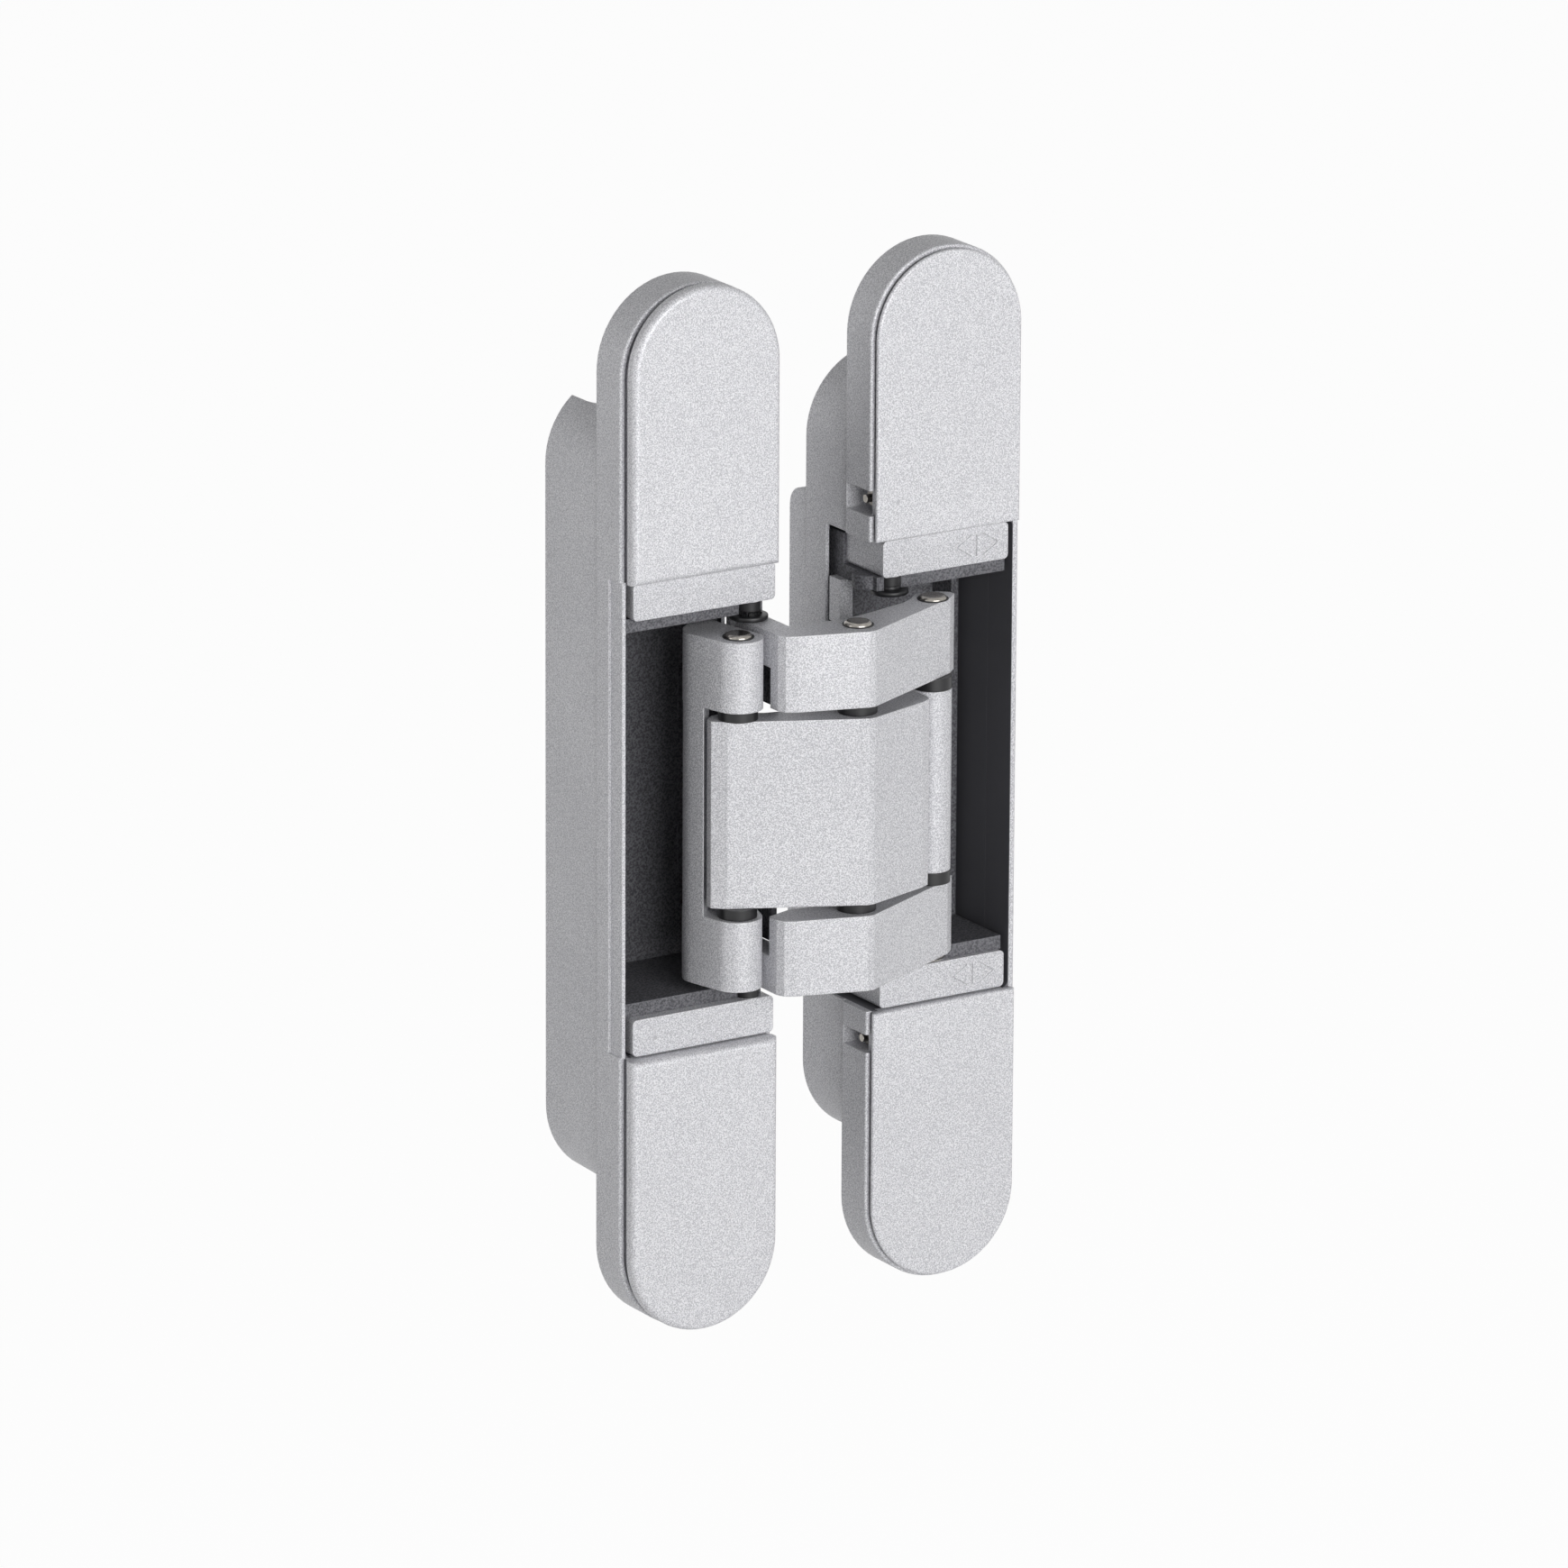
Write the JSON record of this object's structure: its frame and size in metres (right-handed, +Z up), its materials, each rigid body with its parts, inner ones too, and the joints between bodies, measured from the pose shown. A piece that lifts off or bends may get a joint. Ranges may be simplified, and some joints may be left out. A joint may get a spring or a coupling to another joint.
{
  "type": "concealed door hinge",
  "caption": "Concealed door hinge: two slim round-ended housings for pockets in door and frame, joined by crossed arms and links, with clip-on covers.",
  "frame": {"origin": "middle of the left half's screw line, on the back of its flange, where the flange rests on the wood", "axes": "+Z up along the hinge's length, -Y out of the wood towards the viewer of the opened hinge, +X from the left half to the right half"},
  "size_m": [0.066, 0.0356, 0.152],
  "materials": {
    "satin_nickel": "satin nickel plating with a fine grain",
    "satin_cover": "satin nickel plating on the covers",
    "satin_block": "satin nickel plating on the end blocks",
    "bright_pin": "bright nickel",
    "charcoal_cast": "charcoal, semi-matte",
    "black_washer": "black, semi-matte"
  },
  "bodies": {
    "left_half": {"left_housing": "satin_nickel", "left_cover_top": "satin_cover", "left_cover_bottom": "satin_cover", "left_block_top": "satin_block", "left_block_bottom": "satin_block", "left_carriage": "charcoal_cast", "left_arm_pins": "bright_pin", "left_link_pins": "bright_pin"},
    "outer_arms": {"outer_arm_top": "satin_nickel", "outer_arm_bottom": "satin_nickel", "centre_pin": "bright_pin", "centre_washers": "black_washer", "right_knuckle_pin": "bright_pin", "right_knuckle_washers": "black_washer"},
    "inner_arm": {"inner_arm": "satin_nickel", "left_knuckle_pin": "bright_pin", "left_knuckle_washers": "black_washer"},
    "left_link": {"left_link": "satin_nickel"},
    "right_link": {"right_link": "satin_nickel"},
    "right_carriage": {"right_carriage": "charcoal_cast", "right_block_top": "satin_block", "right_block_bottom": "satin_block", "right_arm_pins": "bright_pin", "right_link_pin": "bright_pin", "right_side_key": "bright_pin"},
    "right_half": {"right_flange": "satin_nickel", "right_casting": "satin_nickel", "right_cover_top": "satin_cover", "right_cover_bottom": "satin_cover", "right_side_screws": "bright_pin"}
  },
  "joints": [
    {"name": "arm_swing", "type": "hinge", "parent": "left_half", "child": "outer_arms", "pos_m": [0.0101, -0.0022, 0], "axis": [0, 0, -1], "range_deg": [0, 96.06]},
    {"name": "cross_pivot", "type": "hinge", "parent": "outer_arms", "child": "inner_arm", "pos_m": [0.0205, -0.01585, 0], "axis": [0, 0, -1], "range_deg": [-12.2, 0]},
    {"name": "right_arm_pivot", "type": "hinge", "parent": "inner_arm", "child": "right_carriage", "pos_m": [0.0309, -0.0022, 0], "axis": [0, 0, -1], "range_deg": [0, 96.1]},
    {"name": "left_link_pivot", "type": "hinge", "parent": "inner_arm", "child": "left_link", "pos_m": [0.0044, -0.01015, 0], "axis": [0, 0, -1], "range_deg": [0, 21.2]},
    {"name": "right_link_pivot", "type": "hinge", "parent": "outer_arms", "child": "right_link", "pos_m": [0.0366, -0.01015, 0], "axis": [0, 0, -1], "range_deg": [-21.2, 0]},
    {"name": "side_adjustment", "type": "slide", "parent": "right_carriage", "child": "right_half", "axis": [1, 0, 0], "range_m": [-0.0006, 0.0006]}
  ],
  "couplings": [
    {"joint": "cross_pivot", "follows": "arm_swing", "ratio": -0.12624},
    {"joint": "right_arm_pivot", "follows": "arm_swing", "ratio": 1},
    {"joint": "left_link_pivot", "follows": "arm_swing", "ratio": 0.21984},
    {"joint": "right_link_pivot", "follows": "arm_swing", "ratio": -0.21984}
  ]
}
